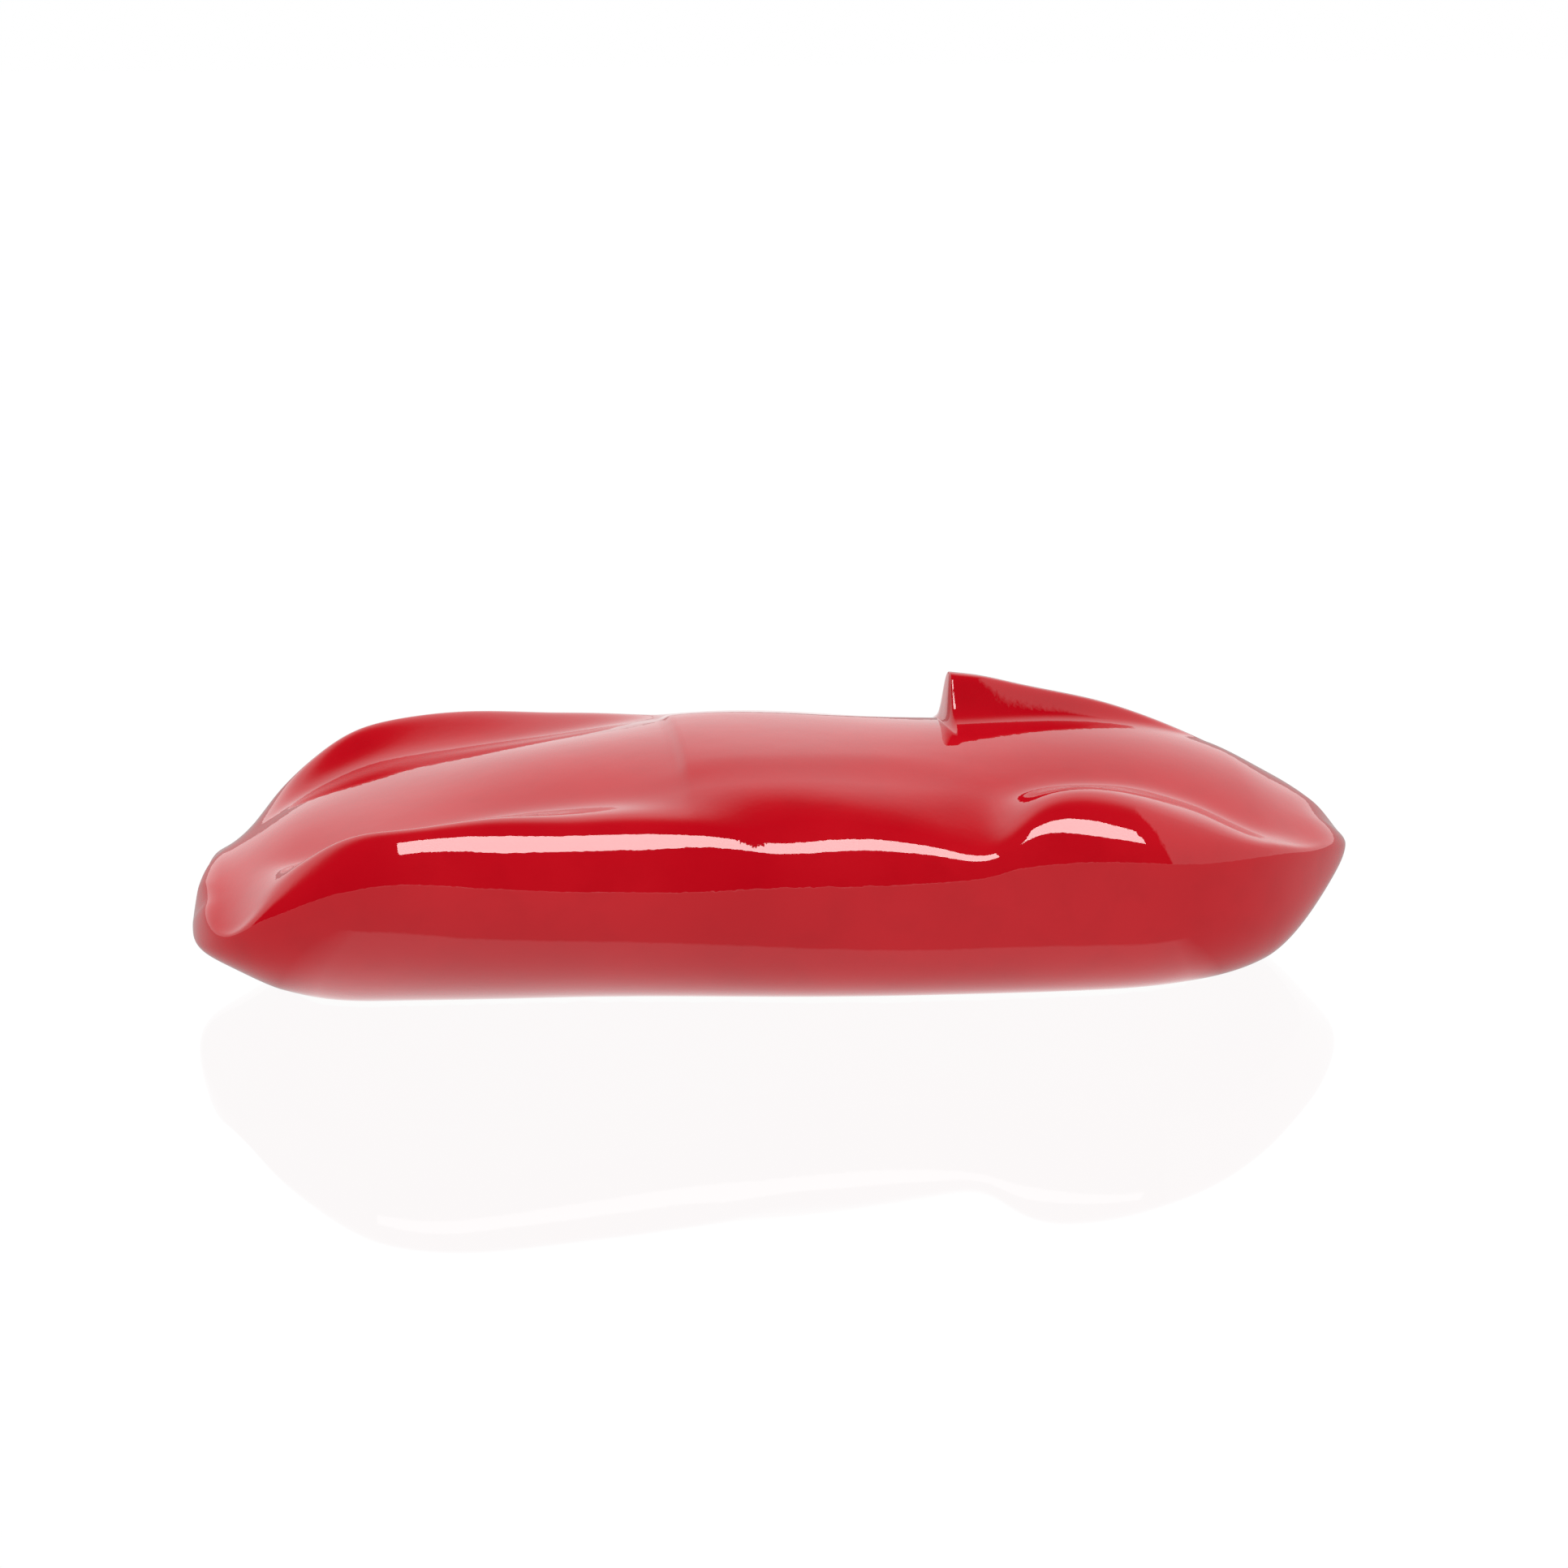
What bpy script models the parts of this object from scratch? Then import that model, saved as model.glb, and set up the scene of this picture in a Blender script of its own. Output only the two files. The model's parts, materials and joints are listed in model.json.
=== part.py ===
"""Glazed slip-cast ceramic car ornament: hollow body, stopper in the base, four felt pads.

Frame: nose toward -X, tail toward +X, resting plane Z = 0, metres. The body is mirrored
about Y = 0 except for the headrest fairing, which stands off to +Y.
"""
import math

import bmesh
import bpy
import numpy as np
from mathutils import Vector

MM = 0.001

# ---------------------------------------------------------------- driving dimensions (mm)
LENGTH = 240.2          # nose tip to tail tip
WIDTH = 103.0           # across the sides at the rear wheel arches
HEIGHT = 57.4           # top of the headrest fairing above the resting plane
WALL = 4.5              # cast wall with its glaze
BASE_LIFT = 0.4         # the pads hold the unglazed base this far off the table
COWL_X = -21.8          # where the scuttle steps up to the cockpit cover
FIN_X = 35.5            # foot of the front face of the headrest fairing
FIN_RISE = 2.2          # length over which that face rises
FIN_Y = 12.0            # fairing stands this far off the middle, on the driver's side
FIN_POWER = 3.6         # squareness of the fairing's section
BORE_R = 8.5            # drain hole of the casting
RECESS_R = 12.0         # shallow recess round the drain hole
RECESS_DEPTH = 2.2
PAD_R = 5.0
PAD_THICK = 1.2
PAD_GAP = 0.3           # adhesive layer over each pad and clearance round it

# The lines below are drawn for a body 240.2 x 103.0 x 57.4 and stretched to the sizes above.
NOSE = -120.1
TAIL = 120.1
LENGTH_SCALE = LENGTH / 240.2
WIDTH_SCALE = WIDTH / 103.0
HEIGHT_SCALE = HEIGHT / 57.4
FRONT_PAD = (-58.0 * LENGTH_SCALE, 8.0 * WIDTH_SCALE)
REAR_PAD = (62.0 * LENGTH_SCALE, 17.0 * WIDTH_SCALE)
MIDDLE_Z = 25.0 * HEIGHT_SCALE


def spline(points):
    """Natural cubic curve through (x, value) points."""
    x = np.array([p[0] for p in points], float)
    v = np.array([p[1] for p in points], float)
    n = len(x)
    h = np.diff(x)
    rows = np.eye(n)
    rhs = np.zeros(n)
    for i in range(1, n - 1):
        rows[i, i - 1:i + 2] = h[i - 1], 2 * (h[i - 1] + h[i]), h[i]
        rhs[i] = 6 * ((v[i + 1] - v[i]) / h[i] - (v[i] - v[i - 1]) / h[i - 1])
    m = np.linalg.solve(rows, rhs)

    def curve(q):
        q = np.clip(np.asarray(q, float), x[0], x[-1])
        i = np.clip(np.searchsorted(x, q, side="right") - 1, 0, n - 2)
        a = x[i + 1] - q
        b = q - x[i]
        s = h[i]
        cubic = (m[i] * a**3 + m[i + 1] * b**3) / (6 * s)
        return cubic + (v[i] / s - m[i] * s / 6) * a + (v[i + 1] / s - m[i + 1] * s / 6) * b

    return curve


def rise(t):
    """Smooth 0 to 1."""
    t = np.clip(t, 0, 1)
    return t**3 * (10 - 15 * t + 6 * t * t)


def taper(x, nose_length, tail_length, tail_power=2.0):
    """1 along the middle, falling in a round curve to 0 at each tip."""
    s = np.clip((NOSE + nose_length - x) / nose_length, 0, 1)
    t = np.clip((x - TAIL + tail_length) / tail_length, 0, 1)
    return np.sqrt(1 - s * s) * (1 - t**tail_power) ** (1 / tail_power)


# ---------------------------------------------------------------- lines of the body (mm)
half_width = spline([(-121, 53), (-95, 43.85), (-78, 46.15), (-60, 47.7), (-40, 47), (-22, 45.8),
                     (0, 44.6), (18, 44.4), (35, 46.11), (50, 49.12), (63, 51.3), (78, 51.59),
                     (95, 48.41), (121, 36.2)])
belt = spline([(-121, 12.14), (-118.5, 14.76), (-113.7, 18.86), (-108.4, 22.15), (-100, 26.44),
               (-92, 29.55), (-80, 31.54), (-62, 30.45), (-31, 27.22), (0, 24.79), (20, 24.74),
               (31, 26.36), (39, 28.22), (47, 30.07), (55, 31.35), (63, 31.78), (72, 31.3),
               (84, 29.76), (97, 27.66), (108, 25.77), (121, 21.41)])
deck = spline([(-121, 24.2), (-115.5, 25), (-109, 28.2), (-100, 33.43), (-92, 36.29),
               (-77, 40.13), (-60, 43.75), (-43, 46.36), (-28, 47.76), (-18, 48.31), (-8, 48.26),
               (5, 47.73), (20, 47.24), (33, 47.05), (50, 47.17), (60, 46.92), (69, 46.24),
               (77, 45.1), (85, 43.33), (95, 39.99), (105, 35.68), (121, 30.79)])
deck_drop = spline([(-121, 4.1), (-108, 4.51), (-100, 4.04), (-90, 2.42), (-78, 1.89),
                    (-61, 3.23), (-43, 3.96), (-20, 2.45), (0, 1.93), (30, 3.47), (50, 4.77),
                    (80, 4.45), (92, 5.06), (104, 6.18), (121, 8.01)])
edge_y = spline([(-121, 19.36), (-105, 28.64), (-100, 35.18), (-95, 40.28), (-90, 42.79),
                 (-80, 43.9), (-70, 42.41), (-55, 40.72), (-40, 40.94), (-20, 44.53), (0, 46.36),
                 (20, 46.17), (36, 39.06), (50, 34.96), (60, 34.41), (70, 35.16), (80, 37.82),
                 (90, 40.24), (100, 36.74), (121, 27.14)])
wall_slope = spline([(-121, 0), (-112, 0), (-106, 0.2), (-100, 0.6), (-92, 1.3), (-80, 0.98),
                     (-61, 0.79), (-45, 0.64), (-32, 0.46), (-20, 0.05), (-8, -0.44),
                     (26, -0.13), (36, 0.05), (44, 0.58), (52, 0.84), (64, 0.75), (75, 0.56),
                     (85, 0.55), (95, 0.61), (103, 0.51), (121, 0.1)])
side_rise = spline([(-121, 5.6), (-113, 6.3), (-105, 8), (-97, 10.8), (-90, 13.6), (-80, 16.75),
                    (-61, 18.51), (-40, 19.95), (-22, 21.37), (0, 24.8), (20, 23.9), (35, 22),
                    (50, 18.38), (62, 15.24), (74, 13.33), (84, 13.59), (95, 13.71), (121, 3.92)])
edge_soft = spline([(-121, 2), (-112, 3), (-104, 4), (-96, 6), (-80, 6), (-60, 5), (-30, 5),
                    (-15, 6), (0, 8), (26, 10), (40, 9), (60, 7.5), (85, 6), (121, 8)])
keel = spline([(-121, 4.4), (-112, 4.29), (-104, 1.76), (-96, -0.98), (-80, -1.99), (0, -2),
               (60, -2), (85, -0.91), (100, 1.34), (110, 4.88), (121, 12.1)])
bilge = spline([(-121, 0), (-100, -0.03), (-80, -0.01), (-40, 0.02), (0, 0.08), (50, 0.11),
                (80, 0.1), (100, 0.09), (121, -0.01)])
fin_top = spline([(32, 58.1), (37.8, 57.2), (42.8, 56.6), (51.5, 54.6), (60.2, 52.5),
                  (69.1, 50.2), (78, 47.1), (87, 43.3), (96, 39), (105, 34.4), (114.4, 28.6)])
fin_half = spline([(32, 5.2), (40, 5.1), (51, 4.6), (63, 4), (77, 3.4), (91, 2.8), (114, 2.3)])

# rounding of the two ends and of the flanks
SIDE_R = 18
NOSE_PLAN = 35.43
TAIL_PLAN = 56.39
NOSE_UP = 6.44
TAIL_UP = 26.26
NOSE_DOWN = 18.36
TAIL_DOWN = 23.62
UP_POWER = 1.83
DOWN_POWER = 1.9


def soft_min(a, b, k):
    """Smaller of two heights with the edge between them rounded over k."""
    h = np.clip(k - np.abs(a - b), 0, None) / k
    return np.minimum(a, b) - h**3 * k / 6


def deck_height(x, y):
    """Bonnet, cockpit cover and tail deck with the inner walls of the wings."""
    a = np.abs(y)
    z = deck(x) - deck_drop(x) * (y / 26) ** 2
    foot = edge_y(x) - 13.5 + 5.5 * rise((x - 20) / 25)
    turn = 2.4 - 0.8 * rise((x - 20) / 25)
    z = z + wall_slope(x) * turn * np.log1p(np.exp((a - foot) / turn))
    cover = rise((x - COWL_X + 2.0) / 4) * (1 - 0.6 * rise((x + 10) / 60))
    return z + 1.5 * cover * (1 - rise((a - 10) / 34))


def fairing(x, y):
    """Headrest fairing on the driver's side: steep rounded front, running out into the tail."""
    height = np.maximum(fin_top(x) - deck(x) + 0.3, 0) * rise((x - FIN_X) / FIN_RISE)
    height = height * (1 - rise((x - 96) / 20))
    return height / (1 + (np.abs(y - FIN_Y) / fin_half(x)) ** FIN_POWER)


def hull(x, angle, side=0):
    """Point of the section at station x; angle 0 is top centre, pi is bottom centre.

    side is +1 for the flank that carries the fairing, -1 for the other, 0 to leave it off.
    """
    middle = belt(x)
    plan = taper(x, NOSE_PLAN, TAIL_PLAN)
    end = taper(x, NOSE_UP, TAIL_UP, UP_POWER)
    w = half_width(x) * plan
    down = (middle - keel(x)) * taper(x, NOSE_DOWN, TAIL_DOWN, DOWN_POWER)
    m = rise((angle - math.radians(60)) / math.radians(60))
    reach = 1 + bilge(x) * m * np.sin(2 * angle) ** 2
    y = w * reach * np.sin(angle)
    r = SIDE_R * plan
    u = np.clip((w * np.sin(angle) - w + r) / np.maximum(r, 1e-6), 0, 1)
    inner = np.clip(w - r - np.abs(y), 0, None)
    flank = (side_rise(x) * np.sqrt(1 - u * u) + 0.05 * inner**2) * end * np.sign(np.cos(angle))
    top = np.where(np.cos(angle) > 0, (deck_height(x, y) - middle) * end, 99.0)
    upper = soft_min(top, flank, edge_soft(x) * end + 0.01)
    z = middle + upper * (1 - m) + down * reach * np.cos(angle) * m
    if side:
        z = z + fairing(x, side * y) * (angle < math.radians(60))
    return y * WIDTH_SCALE, z * HEIGHT_SCALE


def base_angle(x):
    """Angle at which the section meets the flat base, or a little short of the keel."""
    angles = np.radians(np.linspace(95, 172, 200))
    z = hull(np.full(200, x), angles)[1]
    low = np.nonzero(z <= BASE_LIFT)[0]
    if len(low) == 0:
        return angles[-1]
    i = low[0]
    share = (z[i - 1] - BASE_LIFT) / (z[i - 1] - z[i])
    return angles[i - 1] + share * (angles[i] - angles[i - 1])


def half_ring(x, spread, floor_steps, sign, fin):
    """One side of the section from top centre to bottom centre."""
    edge = base_angle(x)
    angles = np.concatenate([spread * edge, np.linspace(edge, math.pi, floor_steps + 1)[1:]])
    y, z = hull(np.full(len(angles), x), angles, sign * fin)
    z = np.maximum(z, BASE_LIFT)
    y[-1] = 0.0
    y[0] = 0.0
    return [(x * LENGTH_SCALE, sign * y[i], z[i]) for i in range(len(angles))]


def skin(name, stations, spread, floor_steps, place, fin=1):
    """Closed surface through the sections, a single point at each tip."""
    bm = bmesh.new()
    rings = []
    for x in stations:
        far = half_ring(x, spread, floor_steps, 1, fin)
        near = half_ring(x, spread, floor_steps, -1, fin)
        loop = far + near[-2:0:-1]
        rings.append([bm.verts.new(place(p)) for p in loop])
    nose = bm.verts.new(place((NOSE * LENGTH_SCALE, 0, float(belt(NOSE)) * HEIGHT_SCALE)))
    tail = bm.verts.new(place((TAIL * LENGTH_SCALE, 0, float(belt(TAIL)) * HEIGHT_SCALE)))
    count = len(rings[0])
    for k in range(count):
        n = (k + 1) % count
        bm.faces.new((nose, rings[0][n], rings[0][k]))
        bm.faces.new((tail, rings[-1][k], rings[-1][n]))
        for i in range(len(rings) - 1):
            bm.faces.new((rings[i][k], rings[i][n], rings[i + 1][n], rings[i + 1][k]))
    bmesh.ops.recalc_face_normals(bm, faces=bm.faces)
    return to_object(name, bm)


def to_object(name, bm):
    mesh = bpy.data.meshes.new(name)
    bm.to_mesh(mesh)
    bm.free()
    for face in mesh.polygons:
        face.use_smooth = True
    obj = bpy.data.objects.new(name, mesh)
    bpy.context.scene.collection.objects.link(obj)
    return obj


def turned(name, profile, segments=48):
    """Solid of revolution about Z through (radius, z) points in mm, closed at the axis."""
    bm = bmesh.new()
    rings = []
    for r, z in profile:
        if r == 0:
            rings.append([bm.verts.new((0, 0, z * MM))])
            continue
        ring = []
        for k in range(segments):
            turn = 2 * math.pi * k / segments
            ring.append(bm.verts.new((r * MM * math.cos(turn), r * MM * math.sin(turn), z * MM)))
        rings.append(ring)
    for a, b in zip(rings, rings[1:]):
        for k in range(segments):
            n = (k + 1) % segments
            if len(a) == 1:
                bm.faces.new((a[0], b[k], b[n]))
            elif len(b) == 1:
                bm.faces.new((a[k], b[0], a[n]))
            else:
                bm.faces.new((a[k], b[k], b[n], a[n]))
    bmesh.ops.recalc_face_normals(bm, faces=bm.faces)
    return to_object(name, bm)


def cylinder(name, radius, low, high, segments=48):
    return turned(name, [(0, low), (radius, low), (radius, high), (0, high)], segments)


def cut(target, cutter):
    cutter.hide_render = True
    cutter.display_type = "WIRE"
    step = target.modifiers.new(cutter.name, "BOOLEAN")
    step.operation = "DIFFERENCE"
    step.solver = "EXACT"
    step.object = cutter


def material(name, colour, roughness):
    mat = bpy.data.materials.new(name)
    mat.use_nodes = True
    shader = mat.node_tree.nodes["Principled BSDF"]
    shader.inputs["Base Color"].default_value = (*colour, 1)
    shader.inputs["Roughness"].default_value = roughness
    shader.inputs["Metallic"].default_value = 0.0
    return mat


for old in list(bpy.data.objects):
    bpy.data.objects.remove(old)

glaze = material("red_glaze", (0.48, 0.004, 0.012), 0.06)
silicone = material("grey_silicone", (0.10, 0.10, 0.11), 0.55)
felt = material("black_felt", (0.02, 0.02, 0.022), 0.95)


# ---------------------------------------------------------------- body shell
def stations(count, extra):
    """Evenly eased along the length, closer together toward both tips."""
    turn = np.linspace(0, math.pi, count + 2)[1:-1]
    x = TAIL * -np.cos(turn)
    x = np.array([s for s in x if all(abs(s - e) > 1.2 for e in extra)])
    return np.sort(np.concatenate([x, extra]))


front_face = [FIN_X - 1.2, FIN_X, FIN_X + 0.5, FIN_X + 0.9, FIN_X + 1.3, FIN_X + 1.7, FIN_X + 2.4]
cowl_lines = [COWL_X - 3.0, COWL_X - 1.2, COWL_X, COWL_X + 1.2, COWL_X + 3.0]
side_lines = np.array([0, 3.5, 6.5, 9, 11.2, 13.2, 15.2, 17.4, 19.8, 22.5, 26, 30, 34, 38, 42.5, 47,
                       52, 57, 63, 70, 78, 87, 97, 108, 120, 133, 147, 161.0]) / 161.0

body = skin("body_shell", stations(58, front_face + cowl_lines), side_lines, 3,
            lambda p: Vector(p) * MM)

centre = Vector((0, 0, MIDDLE_Z))
shrink = Vector((1 - 4 * WALL / LENGTH, 1 - 2 * WALL / WIDTH, 1 - WALL / (MIDDLE_Z - BASE_LIFT)))


def inward(p):
    """Shrinks the hull about its middle by the wall on every side."""
    q = Vector(p) - centre
    return Vector((q.x * shrink.x, q.y * shrink.y, q.z * shrink.z)) * MM + centre * MM


core_lines = np.linspace(0, 1, 13)
core = skin("casting_core", stations(26, []), core_lines, 2, inward, fin=0)
cut(body, core)
cut(body, cylinder("drain_bore", BORE_R, -1, 12))
cut(body, cylinder("stopper_recess", RECESS_R, -1, BASE_LIFT + RECESS_DEPTH))
for end, (px, py) in (("front", FRONT_PAD), ("rear", REAR_PAD)):
    for side, sign in (("left", -1), ("right", 1)):
        pocket = cylinder("pocket_" + end + "_" + side, PAD_R + PAD_GAP, -1, PAD_THICK + PAD_GAP)
        pocket.location = (px * MM, sign * py * MM, 0)
        cut(body, pocket)
body.data.materials.append(glaze)

# ---------------------------------------------------------------- stopper
# Flange in the recess, waisted shank through the bore, small bead inside the casting.
under = BASE_LIFT + 0.4
seat = BASE_LIFT + RECESS_DEPTH - 0.3
floor_top = BASE_LIFT + WALL
stopper = turned("drain_stopper", [
    (0, under), (RECESS_R - 1.6, under), (RECESS_R - 0.9, under + 0.5),
    (RECESS_R - 0.9, seat - 0.3), (RECESS_R - 1.2, seat), (BORE_R - 0.3, seat),
    (BORE_R - 0.35, floor_top), (BORE_R - 0.3, floor_top + 0.6), (BORE_R - 0.6, floor_top + 1.6),
    (BORE_R - 2.0, floor_top + 2.6), (0, floor_top + 2.6)])
dish = turned("finger_dish", [(0, under + 1.2), (4.5, under + 1.0), (6.6, under), (6.8, under - 0.3),
                              (0, under - 0.3)], 32)
bar = bmesh.new()
bmesh.ops.create_cube(bar, size=1)
bmesh.ops.scale(bar, vec=(1.8 * MM, 20 * MM, 6 * MM), verts=bar.verts)
grip = to_object("grip_bar", bar)
grip.location = (0, 0, under * MM)
cut(dish, grip)
grip.hide_render = True
cut(stopper, dish)
stopper.data.materials.append(silicone)

# ---------------------------------------------------------------- felt pads
for end, (px, py) in (("front", FRONT_PAD), ("rear", REAR_PAD)):
    for side, sign in (("left", -1), ("right", 1)):
        pad = turned("felt_pad_" + end + "_" + side, [
            (0, 0), (PAD_R - 0.2, 0), (PAD_R, 0.2), (PAD_R, PAD_THICK - 0.2),
            (PAD_R - 0.2, PAD_THICK), (0, PAD_THICK)], 40)
        pad.location = (px * MM, sign * py * MM, 0)
        pad.data.materials.append(felt)
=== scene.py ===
"""Looks of the glazed ceramic car ornament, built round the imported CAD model."""
import json
import math

import bmesh
import bpy
import numpy as np
from mathutils import Matrix, Vector

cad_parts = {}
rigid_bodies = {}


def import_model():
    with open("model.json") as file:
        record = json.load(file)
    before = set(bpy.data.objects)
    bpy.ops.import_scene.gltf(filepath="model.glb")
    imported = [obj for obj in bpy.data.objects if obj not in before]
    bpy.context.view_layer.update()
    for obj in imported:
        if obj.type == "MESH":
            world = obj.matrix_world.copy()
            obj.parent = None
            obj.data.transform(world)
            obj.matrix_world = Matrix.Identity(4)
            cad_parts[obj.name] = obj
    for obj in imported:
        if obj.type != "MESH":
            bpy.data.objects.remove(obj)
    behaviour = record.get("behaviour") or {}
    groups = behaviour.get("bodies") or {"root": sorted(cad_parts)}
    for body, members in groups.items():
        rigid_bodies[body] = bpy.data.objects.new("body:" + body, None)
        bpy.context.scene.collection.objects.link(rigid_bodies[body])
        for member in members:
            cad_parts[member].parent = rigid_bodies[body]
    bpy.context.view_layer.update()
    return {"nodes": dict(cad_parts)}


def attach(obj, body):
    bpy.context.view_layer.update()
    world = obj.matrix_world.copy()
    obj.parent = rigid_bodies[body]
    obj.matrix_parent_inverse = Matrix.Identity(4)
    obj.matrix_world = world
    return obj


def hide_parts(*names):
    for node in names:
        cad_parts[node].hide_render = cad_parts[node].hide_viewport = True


MM = 0.001

for old in list(bpy.data.objects):
    bpy.data.objects.remove(old)
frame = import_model()

# ---------------------------------------------------------------- the body's own lines (mm)
NOSE, TAIL = -120.1, 120.1
WALL = 4.5
BASE_LIFT = 0.4
COWL_X = -21.8
FIN_X = 35.5
FIN_RISE = 2.2
FIN_Y = 12.0
FIN_POWER = 3.6
BORE_R = 8.5
RECESS_R = 12.0
RECESS_DEPTH = 2.2
PAD_R, PAD_THICK, PAD_GAP = 5.0, 1.2, 0.3
FRONT_PAD = (-58.0, 8.0)
REAR_PAD = (62.0, 17.0)


def spline(points):
    """Natural cubic curve through (x, value) points."""
    x = np.array([p[0] for p in points], float)
    v = np.array([p[1] for p in points], float)
    n = len(x)
    h = np.diff(x)
    rows = np.eye(n)
    rhs = np.zeros(n)
    for i in range(1, n - 1):
        rows[i, i - 1:i + 2] = h[i - 1], 2 * (h[i - 1] + h[i]), h[i]
        rhs[i] = 6 * ((v[i + 1] - v[i]) / h[i] - (v[i] - v[i - 1]) / h[i - 1])
    m = np.linalg.solve(rows, rhs)

    def curve(q):
        q = np.clip(np.asarray(q, float), x[0], x[-1])
        i = np.clip(np.searchsorted(x, q, side="right") - 1, 0, n - 2)
        a = x[i + 1] - q
        b = q - x[i]
        s = h[i]
        cubic = (m[i] * a**3 + m[i + 1] * b**3) / (6 * s)
        return cubic + (v[i] / s - m[i] * s / 6) * a + (v[i + 1] / s - m[i + 1] * s / 6) * b

    return curve


def rise(t):
    t = np.clip(t, 0, 1)
    return t**3 * (10 - 15 * t + 6 * t * t)


def taper(x, nose_length, tail_length, tail_power=2.0):
    s = np.clip((NOSE + nose_length - x) / nose_length, 0, 1)
    t = np.clip((x - TAIL + tail_length) / tail_length, 0, 1)
    return np.sqrt(1 - s * s) * (1 - t**tail_power) ** (1 / tail_power)


# Most knots below were placed by a least-squares fit of the surface, not chosen one by one.
half_width = spline([(-121, 53), (-95, 43.85), (-78, 46.15), (-60, 47.7), (-40, 47), (-22, 45.8),
                     (0, 44.6), (18, 44.4), (35, 46.11), (50, 49.12), (63, 51.3), (78, 51.59),
                     (95, 48.41), (121, 36.2)])
belt = spline([(-121, 12.14), (-118.5, 14.76), (-113.7, 18.86), (-108.4, 22.15), (-100, 26.44),
               (-92, 29.55), (-80, 31.54), (-62, 30.45), (-31, 27.22), (0, 24.79), (20, 24.74),
               (31, 26.36), (39, 28.22), (47, 30.07), (55, 31.35), (63, 31.78), (72, 31.3),
               (84, 29.76), (97, 27.66), (108, 25.77), (121, 21.41)])
deck = spline([(-121, 24.2), (-115.5, 25), (-109, 28.2), (-100, 33.43), (-92, 36.29),
               (-77, 40.13), (-60, 43.75), (-43, 46.36), (-28, 47.76), (-18, 48.31), (-8, 48.26),
               (5, 47.73), (20, 47.24), (33, 47.05), (50, 47.17), (60, 46.92), (69, 46.24),
               (77, 45.1), (85, 43.33), (95, 39.99), (105, 35.68), (121, 30.79)])
deck_drop = spline([(-121, 4.1), (-108, 4.51), (-100, 4.04), (-90, 2.42), (-78, 1.89),
                    (-61, 3.23), (-43, 3.96), (-20, 2.45), (0, 1.93), (30, 3.47), (50, 4.77),
                    (80, 4.45), (92, 5.06), (104, 6.18), (121, 8.01)])
edge_y = spline([(-121, 19.36), (-105, 28.64), (-100, 35.18), (-95, 40.28), (-90, 42.79),
                 (-80, 43.9), (-70, 42.41), (-55, 40.72), (-40, 40.94), (-20, 44.53), (0, 46.36),
                 (20, 46.17), (36, 39.06), (50, 34.96), (60, 34.41), (70, 35.16), (80, 37.82),
                 (90, 40.24), (100, 36.74), (121, 27.14)])
wall_slope = spline([(-121, 0), (-112, 0), (-106, 0.2), (-100, 0.6), (-92, 1.3), (-80, 0.98),
                     (-61, 0.79), (-45, 0.64), (-32, 0.46), (-20, 0.05), (-8, -0.44),
                     (26, -0.13), (36, 0.05), (44, 0.58), (52, 0.84), (64, 0.75), (75, 0.56),
                     (85, 0.55), (95, 0.61), (103, 0.51), (121, 0.1)])
side_rise = spline([(-121, 5.6), (-113, 6.3), (-105, 8), (-97, 10.8), (-90, 13.6), (-80, 16.75),
                    (-61, 18.51), (-40, 19.95), (-22, 21.37), (0, 24.8), (20, 23.9), (35, 22),
                    (50, 18.38), (62, 15.24), (74, 13.33), (84, 13.59), (95, 13.71), (121, 3.92)])
edge_soft = spline([(-121, 2), (-112, 3), (-104, 4), (-96, 6), (-80, 6), (-60, 5), (-30, 5),
                    (-15, 6), (0, 8), (26, 10), (40, 9), (60, 7.5), (85, 6), (121, 8)])
keel = spline([(-121, 4.4), (-112, 4.29), (-104, 1.76), (-96, -0.98), (-80, -1.99), (0, -2),
               (60, -2), (85, -0.91), (100, 1.34), (110, 4.88), (121, 12.1)])
bilge = spline([(-121, 0), (-100, -0.03), (-80, -0.01), (-40, 0.02), (0, 0.08), (50, 0.11),
                (80, 0.1), (100, 0.09), (121, -0.01)])
fin_top = spline([(32, 58.1), (37.8, 57.2), (42.8, 56.6), (51.5, 54.6), (60.2, 52.5),
                  (69.1, 50.2), (78, 47.1), (87, 43.3), (96, 39), (105, 34.4), (114.4, 28.6)])
fin_half = spline([(32, 5.2), (40, 5.1), (51, 4.6), (63, 4), (77, 3.4), (91, 2.8), (114, 2.3)])

# rounding of the two ends and of the flanks
SIDE_R = 18
NOSE_PLAN = 35.43
TAIL_PLAN = 56.39
NOSE_UP = 6.44
TAIL_UP = 26.26
NOSE_DOWN = 18.36
TAIL_DOWN = 23.62
UP_POWER = 1.83
DOWN_POWER = 1.9


def soft_min(a, b, k):
    """Smaller of two heights with the edge between them rounded over k."""
    h = np.clip(k - np.abs(a - b), 0, None) / k
    return np.minimum(a, b) - h**3 * k / 6


def deck_height(x, y):
    """Bonnet, cockpit cover and tail deck with the inner walls of the wings."""
    a = np.abs(y)
    z = deck(x) - deck_drop(x) * (y / 26) ** 2
    foot = edge_y(x) - 13.5 + 5.5 * rise((x - 20) / 25)
    turn = 2.4 - 0.8 * rise((x - 20) / 25)
    z = z + wall_slope(x) * turn * np.log1p(np.exp((a - foot) / turn))
    cover = rise((x - COWL_X + 2.0) / 4) * (1 - 0.6 * rise((x + 10) / 60))
    return z + 1.5 * cover * (1 - rise((a - 10) / 34))


def fairing(x, y):
    """Headrest fairing on the driver's side: steep rounded front, running out into the tail."""
    height = np.maximum(fin_top(x) - deck(x) + 0.3, 0) * rise((x - FIN_X) / FIN_RISE)
    height = height * (1 - rise((x - 96) / 20))
    return height / (1 + (np.abs(y - FIN_Y) / fin_half(x)) ** FIN_POWER)


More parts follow.
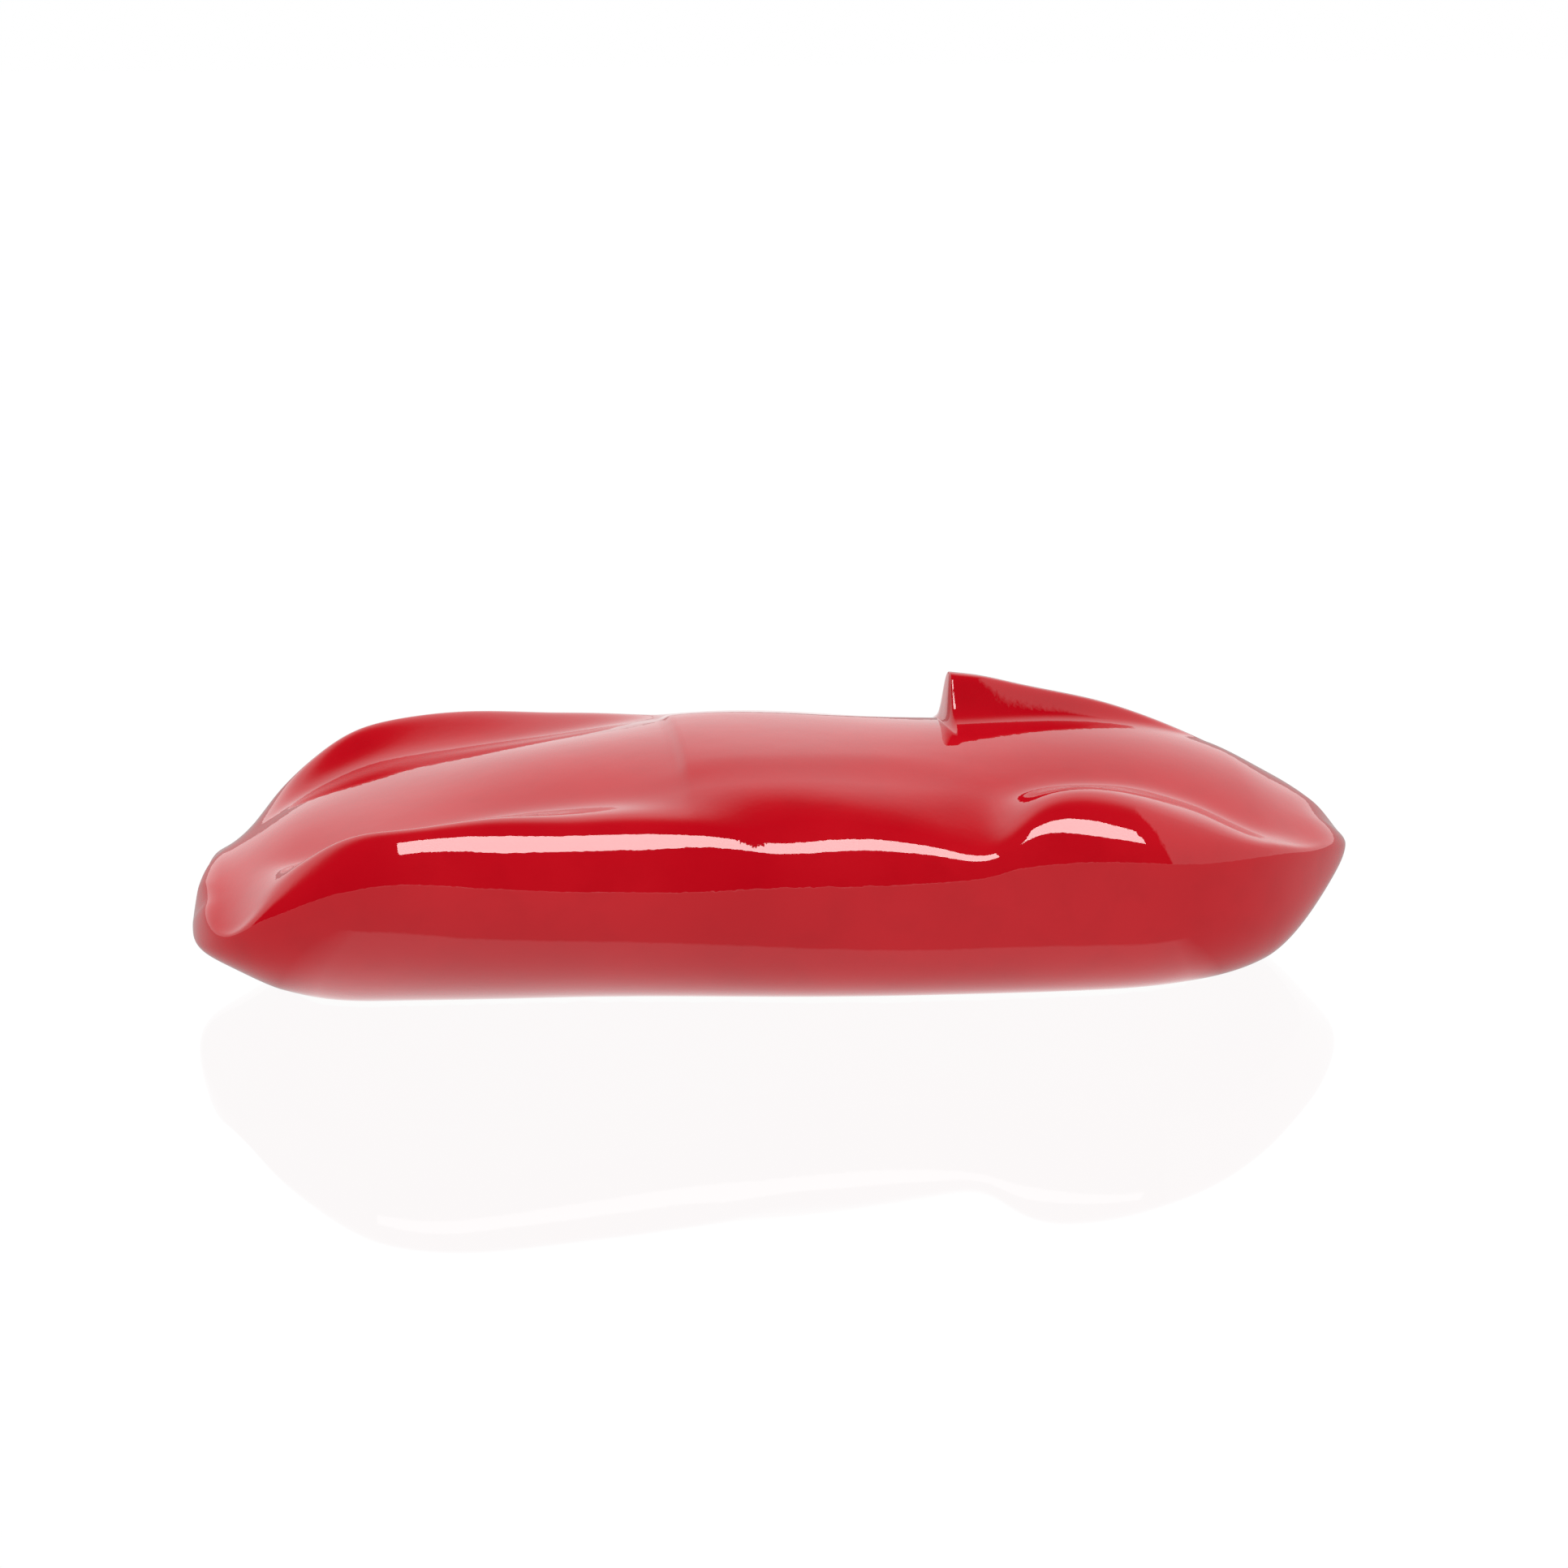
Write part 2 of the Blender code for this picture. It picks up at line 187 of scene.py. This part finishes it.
def hull(x, angle, side=0):
    """Point of the section at station x; angle 0 is top centre, pi is bottom centre.

    side is +1 for the flank that carries the fairing, -1 for the other, 0 to leave it off.
    """
    middle = belt(x)
    plan = taper(x, NOSE_PLAN, TAIL_PLAN)
    end = taper(x, NOSE_UP, TAIL_UP, UP_POWER)
    w = half_width(x) * plan
    down = (middle - keel(x)) * taper(x, NOSE_DOWN, TAIL_DOWN, DOWN_POWER)
    m = rise((angle - math.radians(60)) / math.radians(60))
    reach = 1 + bilge(x) * m * np.sin(2 * angle) ** 2
    y = w * reach * np.sin(angle)
    r = SIDE_R * plan
    u = np.clip((w * np.sin(angle) - w + r) / np.maximum(r, 1e-6), 0, 1)
    inner = np.clip(w - r - np.abs(y), 0, None)
    flank = (side_rise(x) * np.sqrt(1 - u * u) + 0.05 * inner**2) * end * np.sign(np.cos(angle))
    top = np.where(np.cos(angle) > 0, (deck_height(x, y) - middle) * end, 99.0)
    upper = soft_min(top, flank, edge_soft(x) * end + 0.01)
    z = middle + upper * (1 - m) + down * reach * np.cos(angle) * m
    if side:
        z = z + fairing(x, side * y) * (angle < math.radians(60))
    return y, z


def base_angle(x):
    angles = np.radians(np.linspace(95, 172, 400))
    z = hull(np.full(400, x), angles)[1]
    low = np.nonzero(z <= BASE_LIFT)[0]
    if len(low) == 0:
        return angles[-1]
    i = low[0]
    share = (z[i - 1] - BASE_LIFT) / (z[i - 1] - z[i])
    return angles[i - 1] + share * (angles[i] - angles[i - 1])


def skin(name, stations, spread, floor_steps, fin=1):
    """Closed surface through the sections, a single point at each tip."""
    rings = []
    for x in stations:
        edge = base_angle(x)
        angles = np.concatenate([spread * edge, np.linspace(edge, math.pi, floor_steps + 1)[1:]])
        ring = []
        for sign in (1, -1):
            y, z = hull(np.full(len(angles), x), angles, sign * fin)
            y[0] = y[-1] = 0.0
            ring.append(np.stack([np.full(len(y), x), sign * y, np.maximum(z, BASE_LIFT)], 1))
        rings.append(np.concatenate([ring[0], ring[1][-2:0:-1]]))
    count = len(rings[0])
    points = np.concatenate(rings + [[[NOSE, 0, float(belt(NOSE))], [TAIL, 0, float(belt(TAIL))]]])
    nose, tail = len(points) - 2, len(points) - 1
    last = (len(rings) - 1) * count
    faces = []
    for k in range(count):
        n = (k + 1) % count
        faces.append((nose, k, n))
        faces.append((tail, last + n, last + k))
        for i in range(len(rings) - 1):
            a, b = i * count, (i + 1) * count
            faces.append((a + k, b + k, b + n, a + n))
    mesh = bpy.data.meshes.new(name)
    mesh.from_pydata(points * MM, [], faces)
    return add_object(name, mesh)


def add_object(name, mesh):
    mesh.update()
    mesh.polygons.foreach_set("use_smooth", [True] * len(mesh.polygons))
    obj = bpy.data.objects.new(name, mesh)
    bpy.context.scene.collection.objects.link(obj)
    return obj


def turned(name, profile, segments=96):
    """Solid of revolution about Z through (radius, z) points in mm, closed at the axis."""
    bm = bmesh.new()
    rings = []
    for r, z in profile:
        if r == 0:
            rings.append([bm.verts.new((0, 0, z * MM))])
            continue
        turn = [2 * math.pi * k / segments for k in range(segments)]
        rings.append([bm.verts.new((r * MM * math.cos(t), r * MM * math.sin(t), z * MM)) for t in turn])
    for a, b in zip(rings, rings[1:]):
        for k in range(segments):
            n = (k + 1) % segments
            if len(a) == 1:
                bm.faces.new((a[0], b[k], b[n]))
            elif len(b) == 1:
                bm.faces.new((a[k], b[0], a[n]))
            else:
                bm.faces.new((a[k], b[k], b[n], a[n]))
    bmesh.ops.recalc_face_normals(bm, faces=bm.faces)
    mesh = bpy.data.meshes.new(name)
    bm.to_mesh(mesh)
    bm.free()
    return add_object(name, mesh)


def cylinder(name, radius, low, high):
    return turned(name, [(0, low), (radius, low), (radius, high), (0, high)])


# ---------------------------------------------------------------- body
def eased(count, extra):
    turn = np.linspace(0, math.pi, count + 2)[1:-1]
    return np.unique(np.concatenate([TAIL * -np.cos(turn), extra]))


dense = np.concatenate([np.linspace(FIN_X - 1.5, FIN_X + 4.5, 36),
                        np.linspace(COWL_X - 5, COWL_X + 5, 24)])
units = np.concatenate([np.linspace(0, 30, 100)[:-1], np.linspace(30, 100, 80)[:-1],
                        np.linspace(100, 161, 36)])
body = skin("glazed_body", eased(330, dense), units / 161.0, 6)

LENGTH, WIDTH = TAIL - NOSE, 103.0
MIDDLE_Z, HALF_DEPTH = 25.0, 24.6
centre = Vector((0, 0, MIDDLE_Z * MM))
core = skin("casting_core", eased(60, []), np.linspace(0, 1, 30), 3, fin=0)
scale = Matrix.Diagonal((1 - 4 * WALL / LENGTH, 1 - 2 * WALL / WIDTH, 1 - WALL / HALF_DEPTH, 1))
core.data.transform(Matrix.Translation(centre) @ scale @ Matrix.Translation(-centre))

cutters = [core, cylinder("bore", BORE_R, -1, 12), cylinder("recess", RECESS_R, -1, BASE_LIFT + RECESS_DEPTH)]
for px, py in (FRONT_PAD, REAR_PAD):
    for sign in (-1, 1):
        pocket = cylinder("pocket", PAD_R + PAD_GAP, -1, PAD_THICK + PAD_GAP)
        pocket.location = (px * MM, sign * py * MM, 0)
        cutters.append(pocket)
for cutter in cutters:
    step = body.modifiers.new(cutter.name, "BOOLEAN")
    step.operation = "DIFFERENCE"
    step.solver = "EXACT"
    step.object = cutter
graph = bpy.context.evaluated_depsgraph_get()
made = bpy.data.meshes.new_from_object(body.evaluated_get(graph))
body.modifiers.clear()
body.data = made
body.data.set_sharp_from_angle(angle=math.radians(35))
for cutter in cutters:
    bpy.data.objects.remove(cutter)
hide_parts("body_shell")
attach(body, "car_body")


# ---------------------------------------------------------------- materials
class Nodes:
    """Short way to wire a node material."""

    def __init__(self, name):
        self.mat = bpy.data.materials.new(name)
        self.mat.use_nodes = True
        self.tree = self.mat.node_tree
        self.shader = self.tree.nodes["Principled BSDF"]

    def add(self, kind, values=None, **props):
        node = self.tree.nodes.new("ShaderNode" + kind)
        for key, value in props.items():
            setattr(node, key, value)
        for key, value in (values or {}).items():
            self.put(value, node.inputs[key])
        return node

    def put(self, value, socket):
        if isinstance(value, bpy.types.NodeSocket):
            self.tree.links.new(value, socket)
        else:
            socket.default_value = value

    def maths(self, operation, a, b=0.0, clamp=False):
        node = self.add("Math", {0: a, 1: b}, operation=operation, use_clamp=clamp)
        return node.outputs[0]

    def noise(self, where, size, detail=2.0, rough=0.5):
        node = self.add("TexNoise", {"Vector": where, "Scale": 1 / size, "Detail": detail,
                                     "Roughness": rough})
        return node.outputs["Fac"]

    def ramp(self, value, low, high):
        node = self.add("MapRange", {"Value": value, "From Min": low, "From Max": high})
        return node.outputs["Result"]

    def mix(self, share, a, b):
        node = self.add("Mix", data_type="RGBA")
        self.put(share, node.inputs[0])
        self.put(a, node.inputs[6])
        self.put(b, node.inputs[7])
        return node.outputs[2]


def glaze_material():
    n = Nodes("red_glaze")
    where = n.add("TexCoord").outputs["Object"]
    # slow drift of glaze thickness over the casting, and a finer mottle
    drift = n.noise(where, 0.045, 2.0)
    mottle = n.noise(where, 0.006, 3.0)
    deep = (0.46, 0.0012, 0.0075, 1)
    thin = (0.52, 0.005, 0.012, 1)
    colour = n.mix(n.ramp(drift, 0.35, 0.7), deep, thin)
    colour = n.mix(n.maths("MULTIPLY", n.ramp(mottle, 0.45, 0.75), 0.25), colour, (0.40, 0.001, 0.006, 1))
    # pinholes: a few dark dots about 0.3 mm across
    cells = n.add("TexVoronoi", {"Vector": where, "Scale": 1 / 0.0075}, feature="F1")
    pick = n.add("SeparateColor", {"Color": cells.outputs["Color"]}).outputs[0]
    chosen = n.maths("GREATER_THAN", pick, 0.94)
    near = n.maths("SUBTRACT", 1.0, n.ramp(cells.outputs["Distance"], 0.012, 0.03), clamp=True)
    hole = n.maths("MULTIPLY", near, chosen)
    colour = n.mix(n.maths("MULTIPLY", hole, 0.7), colour, (0.10, 0.0005, 0.002, 1))
    # bare bisque foot: below the glaze line the clay shows
    height = n.add("SeparateXYZ", {"Vector": where}).outputs["Z"]
    ragged = n.maths("MULTIPLY", n.maths("SUBTRACT", n.noise(where, 0.004, 4.0), 0.5), 0.0006)
    bare = n.ramp(n.maths("ADD", height, ragged), 0.00075, 0.00060)
    clay_grain = n.noise(where, 0.0008, 5.0)
    clay = n.mix(clay_grain, (0.62, 0.55, 0.46, 1), (0.76, 0.70, 0.62, 1))
    colour = n.mix(bare, colour, clay)
    n.put(colour, n.shader.inputs["Base Color"])
    gloss = n.maths("ADD", n.maths("MULTIPLY", n.ramp(mottle, 0.3, 0.8), 0.012), 0.018)
    rough = n.maths("MAXIMUM", gloss, n.maths("MULTIPLY", bare, 0.85))
    n.put(rough, n.shader.inputs["Roughness"])
    n.shader.inputs["IOR"].default_value = 1.52
    n.shader.inputs["Coat Weight"].default_value = 0.0
    # orange peel, softer swell, pinhole dents and clay grain
    peel = n.noise(where, 0.0011, 1.0, 0.4)
    swell = n.noise(where, 0.007, 1.0, 0.4)
    bump = n.add("Bump", {"Height": swell, "Distance": 0.00004, "Strength": 1.0})
    bump2 = n.add("Bump", {"Height": peel, "Distance": 0.000009, "Strength": 1.0,
                           "Normal": bump.outputs["Normal"]})
    dents = n.maths("MULTIPLY", hole, -1.0)
    bump3 = n.add("Bump", {"Height": dents, "Distance": 0.00006, "Strength": 1.0,
                           "Normal": bump2.outputs["Normal"]})
    grain = n.maths("MULTIPLY", clay_grain, bare)
    bump4 = n.add("Bump", {"Height": grain, "Distance": 0.0001, "Strength": 1.0,
                           "Normal": bump3.outputs["Normal"]})
    n.put(bump4.outputs["Normal"], n.shader.inputs["Normal"])
    return n.mat


def silicone_material():
    n = Nodes("grey_silicone")
    where = n.add("TexCoord").outputs["Object"]
    cloud = n.noise(where, 0.004, 4.0)
    dust = n.ramp(n.noise(where, 0.0012, 6.0, 0.7), 0.55, 0.75)
    colour = n.mix(cloud, (0.10, 0.10, 0.11, 1), (0.15, 0.15, 0.16, 1))
    colour = n.mix(n.maths("MULTIPLY", dust, 0.3), colour, (0.35, 0.34, 0.33, 1))
    n.put(colour, n.shader.inputs["Base Color"])
    n.put(n.maths("ADD", n.maths("MULTIPLY", cloud, 0.2), 0.45), n.shader.inputs["Roughness"])
    bump = n.add("Bump", {"Height": n.noise(where, 0.0006, 3.0), "Distance": 0.00003})
    n.put(bump.outputs["Normal"], n.shader.inputs["Normal"])
    return n.mat


def felt_material():
    n = Nodes("black_felt")
    where = n.add("TexCoord").outputs["Object"]
    fibres = n.noise(where, 0.0005, 8.0, 0.8)
    clumps = n.noise(where, 0.002, 4.0)
    colour = n.mix(fibres, (0.012, 0.012, 0.014, 1), (0.06, 0.06, 0.065, 1))
    colour = n.mix(n.maths("MULTIPLY", clumps, 0.4), colour, (0.03, 0.03, 0.035, 1))
    n.put(colour, n.shader.inputs["Base Color"])
    n.put(n.maths("ADD", n.maths("MULTIPLY", fibres, 0.1), 0.88), n.shader.inputs["Roughness"])
    n.shader.inputs["Sheen Weight"].default_value = 0.4
    n.shader.inputs["Sheen Roughness"].default_value = 0.5
    bump = n.add("Bump", {"Height": fibres, "Distance": 0.0002})
    n.put(bump.outputs["Normal"], n.shader.inputs["Normal"])
    return n.mat


def dress(obj, mat):
    obj.data.materials.clear()
    obj.data.materials.append(mat)


dress(body, glaze_material())
felt = felt_material()
for name, node in frame["nodes"].items():
    if name == "drain_stopper":
        dress(node, silicone_material())
    elif name.startswith("felt_pad"):
        dress(node, felt)


# ---------------------------------------------------------------- studio
def plane(name, corners):
    mesh = bpy.data.meshes.new(name)
    mesh.from_pydata(corners, [], [(0, 1, 2, 3)])
    mesh.update()
    obj = bpy.data.objects.new(name, mesh)
    bpy.context.scene.collection.objects.link(obj)
    return obj


floor = plane("floor", [(-3, -3, 0), (3, -3, 0), (3, 3, 0), (-3, 3, 0)])
n = Nodes("white_table")
path = n.add("LightPath")
spot = n.add("SeparateXYZ", {"Vector": n.add("TexCoord").outputs["Object"]})
# painted pool of light: close under the body the floor glows at full strength in the glaze, farther out only
# at half strength in the glaze
from_nose = n.ramp(spot.outputs["X"], -0.104, -0.096)
from_tail = n.ramp(spot.outputs["X"], 0.088, 0.080)
across = n.maths("MULTIPLY", from_nose, from_tail)
# painted glow patch on the floor under the body, a rectangle seen only in the glaze
painted_glow_patch = n.maths("MULTIPLY", n.ramp(spot.outputs["Y"], -0.0625, -0.0605), across)
glossy_level_with_painted_glow = n.maths("ADD", n.maths("MULTIPLY", painted_glow_patch, 0.5), 0.5)
change = n.maths("SUBTRACT", glossy_level_with_painted_glow, 1.0)
level = n.maths("ADD", n.maths("MULTIPLY", path.outputs["Is Glossy Ray"], change), 1.0)
level = n.maths("SUBTRACT", level, n.maths("MULTIPLY", path.outputs["Is Diffuse Ray"], 0.12))
shine = n.add("Emission", {"Color": (1, 1, 1, 1), "Strength": level})
gloss = n.add("BsdfGlossy", {"Color": (1, 1, 1, 1), "Roughness": 0.03})
mixed = n.add("MixShader", {0: n.maths("MULTIPLY", path.outputs["Is Camera Ray"], 0.06),
                            1: shine.outputs[0], 2: gloss.outputs[0]})
n.put(mixed.outputs[0], n.tree.nodes["Material Output"].inputs["Surface"])
dress(floor, n.mat)


def area(name, place, aim, size, radiance):
    """Soft box seen only in the glaze; the room lights the body evenly."""
    light = bpy.data.lights.new(name, "AREA")
    light.shape = "RECTANGLE"
    light.size, light.size_y = size
    light.energy = radiance * math.pi * size[0] * size[1]
    obj = bpy.data.objects.new(name, light)
    bpy.context.scene.collection.objects.link(obj)
    obj.location = place
    obj.rotation_euler = (Vector(aim) - Vector(place)).to_track_quat("-Z", "Y").to_euler()
    obj.visible_camera = False
    obj.visible_diffuse = False
    return obj


area("strip", (-0.09, -0.62, 0.86), (-0.09, -0.042, 0.04), (0.80, 0.38), 12)

world = bpy.data.worlds.new("studio")
bpy.context.scene.world = world
world.use_nodes = True
w = world.node_tree
w.nodes.clear()
out = w.nodes.new("ShaderNodeOutputWorld")


def wadd(kind, values=None, **props):
    node = w.nodes.new("ShaderNode" + kind)
    for key, value in props.items():
        setattr(node, key, value)
    for key, value in (values or {}).items():
        if isinstance(value, bpy.types.NodeSocket):
            w.links.new(value, node.inputs[key])
        else:
            node.inputs[key].default_value = value
    return node


def wmath(operation, a, b=0.0):
    return wadd("Math", {0: a, 1: b}, operation=operation).outputs[0]


ray = wadd("TexCoord").outputs["Generated"]
xyz = wadd("SeparateXYZ", {"Vector": ray})
# angle over the top: 0 at the back horizon, 90 overhead, 180 at the front horizon
over = wmath("ARCTAN2", xyz.outputs["Z"], xyz.outputs["Y"])
curve = wadd("ValToRGB", {"Fac": wmath("MULTIPLY", over, 1 / math.pi)})
ROOM_LEVEL = 1.2
stops = [(0.0, 1.12), (0.27, 1.12), (0.33, 0.80), (0.383, 0.40), (0.41, 0.20), (0.45, 0.08),
         (0.50, 0.03), (1.0, 0.02)]
ramp = curve.color_ramp
while len(ramp.elements) < len(stops):
    ramp.elements.new(0.5)
for element, (at, value) in zip(ramp.elements, stops):
    element.position = at
    element.color = (value / ROOM_LEVEL, value / ROOM_LEVEL, value / ROOM_LEVEL, 1)
# white card standing on the right
card_edge = wadd("MapRange", {"Value": xyz.outputs["X"], "From Min": 0.40, "From Max": 0.43})
card = card_edge.outputs["Result"]
room = wmath("MAXIMUM", curve.outputs["Color"], wmath("MULTIPLY", card, 0.85))
glow = wadd("Background", {"Color": room, "Strength": ROOM_LEVEL})
rays = wadd("LightPath")
overhead = wadd("MapRange", {"Value": xyz.outputs["Z"], "To Min": 0.9, "To Max": 1.4}).outputs["Result"]
backdrop = wmath("MAXIMUM", overhead, rays.outputs["Is Camera Ray"])
plain = wadd("Background", {"Color": (1, 1, 1, 1), "Strength": backdrop})
both = wadd("MixShader", {0: rays.outputs["Is Glossy Ray"], 1: plain.outputs[0], 2: glow.outputs[0]})
w.links.new(both.outputs[0], out.inputs["Surface"])

# ---------------------------------------------------------------- camera
elevation, azimuth, distance = math.radians(18.0), math.radians(7.42), 0.635
outward = Vector((-math.sin(azimuth) * math.cos(elevation), -math.cos(azimuth) * math.cos(elevation),
                  math.sin(elevation)))
middle = Vector((0, 0, 0.022))
eye = middle + outward * distance
right = (-outward).cross(Vector((0, 0, 1))).normalized()
up = right.cross(-outward)
aim = middle + right * 0.00104 + up * 0.01515
lens = bpy.data.cameras.new("camera")
SENSOR = 36
FRAME_WIDTH, FOCAL = 1932, 3771.0
lens.lens = FOCAL * SENSOR / FRAME_WIDTH
lens.sensor_width = SENSOR
camera = bpy.data.objects.new("camera", lens)
bpy.context.scene.collection.objects.link(camera)
camera.location = eye
camera.rotation_euler = (aim - eye).to_track_quat("-Z", "Y").to_euler()
bpy.context.scene.camera = camera
bpy.context.scene.view_settings.view_transform = "Standard"
